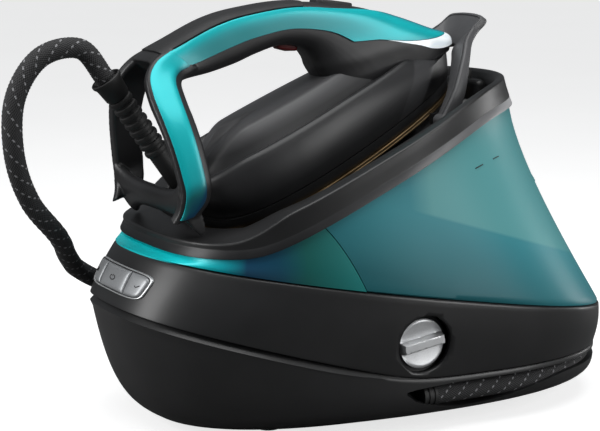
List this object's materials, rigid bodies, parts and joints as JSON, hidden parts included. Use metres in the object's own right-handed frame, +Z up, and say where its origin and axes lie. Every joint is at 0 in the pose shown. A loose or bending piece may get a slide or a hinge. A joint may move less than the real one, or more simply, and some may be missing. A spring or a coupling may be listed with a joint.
{
  "type": "steam generator iron",
  "caption": "Steam generator iron: a boat-shaped base with boiler, slide-out clear tank and sloping cradle, and an iron with an open-backed handle joined to it by a woven hose.",
  "frame": {"origin": "centre of the base's underside, one foot height (3 mm) above the floor", "axes": "+Z up; -Y is the control panel end and +Y the water tank end; +X is the side with the descaling knob"},
  "size_m": [0.2655, 0.4579, 0.2975],
  "materials": {
    "hull_black": "gloss black moulded plastic",
    "satin_black": "fine-grained satin black plastic",
    "soft_grey": "matt dark grey plastic",
    "accent_cyan": "metallic cyan paint that shifts to deep blue at grazing angles",
    "tank_teal": "clear teal-tinted plastic",
    "silver_paint": "satin silver paint on plastic",
    "rubber_black": "matt moulded rubber",
    "woven_black": "black woven sleeve with pale flecks",
    "silicone": "grey silicone",
    "casting": "as-cast aluminium",
    "steel": "drawn steel",
    "brass": "machined brass",
    "sole_brown": "bronze-coloured hard coating on aluminium",
    "dark_red": "dark red plastic",
    "white_lens": "white light-guiding plastic",
    "board_green": "circuit board lacquer"
  },
  "bodies": {
    "base": {"base_tub": "hull_black", "base_housing": "hull_black", "accent_cover": "accent_cyan", "cradle_deck": "satin_black", "rest_mat": "silicone", "foot_front_right": "rubber_black", "foot_front_left": "rubber_black", "foot_rear_right": "rubber_black", "foot_rear_left": "rubber_black", "control_bezel": "silver_paint", "control_board": "board_green", "boiler_vessel": "casting", "boiler_lid": "casting", "boiler_heater": "brass", "boiler_thermostat": "steel", "safety_valve": "brass", "steam_valve": "hull_black", "pump": "hull_black", "tank_socket": "rubber_black", "tank_tube": "silicone", "feed_tube": "silicone", "steam_tube": "silicone", "hose_stowed": "woven_black", "hose_base_boot": "rubber_black", "hose_loop": "woven_black", "power_lead": "rubber_black", "power_plug": "rubber_black", "knob_recess": "rubber_black", "lock_housing": "satin_black", "lock_pivot_right": "satin_black", "lock_pivot_left": "satin_black"},
    "lock": {"lock_bow": "soft_grey"},
    "left_button": {"button_left": "silver_paint"},
    "power_button": {"button_power": "silver_paint"},
    "ok_button": {"button_ok": "silver_paint"},
    "collector": {"calc_collector": "steel", "calc_seal": "rubber_black"},
    "knob": {"calc_knob": "silver_paint"},
    "tank": {"water_tank": "tank_teal", "valve_cage": "silicone", "valve_spring": "steel"},
    "flap": {"filler_flap": "tank_teal"},
    "valve": {"tank_valve": "silicone"},
    "iron": {"soleplate": "sole_brown", "steam_chamber": "casting", "heat_shield": "hull_black", "iron_shell": "satin_black", "iron_handle": "satin_black", "handle_trim_right": "accent_cyan", "handle_trim_left": "accent_cyan", "leg_trim_right": "accent_cyan", "leg_trim_left": "accent_cyan", "handle_top_cover": "soft_grey", "light_window": "white_lens", "iron_hose_boot": "rubber_black", "trigger_spring": "steel", "trigger_switch": "hull_black"},
    "trigger": {"steam_trigger": "dark_red"},
    "boost": {"boost_button": "soft_grey"}
  },
  "joints": [
    {"name": "iron_lift", "type": "slide", "parent": "base", "child": "iron", "axis": [0, -0.7071, 0.7071], "range_m": [0, 0.12], "deforming": ["hose_loop"]},
    {"name": "lock_swing", "type": "hinge", "parent": "base", "child": "lock", "pos_m": [0, 0.062, 0.2065], "axis": [-1, 0, 0], "range_deg": [0, 18]},
    {"name": "left_button_press", "type": "slide", "parent": "base", "child": "left_button", "axis": [0.348, 0.818, -0.4579], "range_m": [0, 0.0012], "stiffness_N_per_m": 400},
    {"name": "power_button_press", "type": "slide", "parent": "base", "child": "power_button", "axis": [0, 0.8839, -0.4676], "range_m": [0, 0.0012], "stiffness_N_per_m": 400},
    {"name": "ok_button_press", "type": "slide", "parent": "base", "child": "ok_button", "axis": [-0.348, 0.818, -0.4579], "range_m": [0, 0.0012], "stiffness_N_per_m": 400},
    {"name": "collector_pull", "type": "slide", "parent": "base", "child": "collector", "axis": [1, 0, 0], "range_m": [0, 0.085]},
    {"name": "knob_turn", "type": "hinge", "parent": "collector", "child": "knob", "pos_m": [0.12, 0.004, 0.063], "axis": [1, 0, 0], "range_deg": [0, 90]},
    {"name": "tank_slide", "type": "slide", "parent": "base", "child": "tank", "axis": [0, 1, 0], "range_m": [0, 0.22]},
    {"name": "flap_swing", "type": "hinge", "parent": "tank", "child": "flap", "pos_m": [0, 0.16432, 0.15385], "axis": [-1, 0, 0], "range_deg": [0, 75]},
    {"name": "valve_travel", "type": "slide", "parent": "tank", "child": "valve", "axis": [0, 0, -1], "range_m": [0, 0.0018], "stiffness_N_per_m": 150, "springref_m": 0.003, "deforming": ["valve_spring"]},
    {"name": "trigger_press", "type": "slide", "parent": "iron", "child": "trigger", "axis": [0, 0.1212, 0.9926], "range_m": [0, 0.003], "stiffness_N_per_m": 500, "deforming": ["trigger_spring"]},
    {"name": "boost_press", "type": "slide", "parent": "iron", "child": "boost", "axis": [0, -0.0897, -0.996], "range_m": [0, 0.0015], "stiffness_N_per_m": 500}
  ]
}
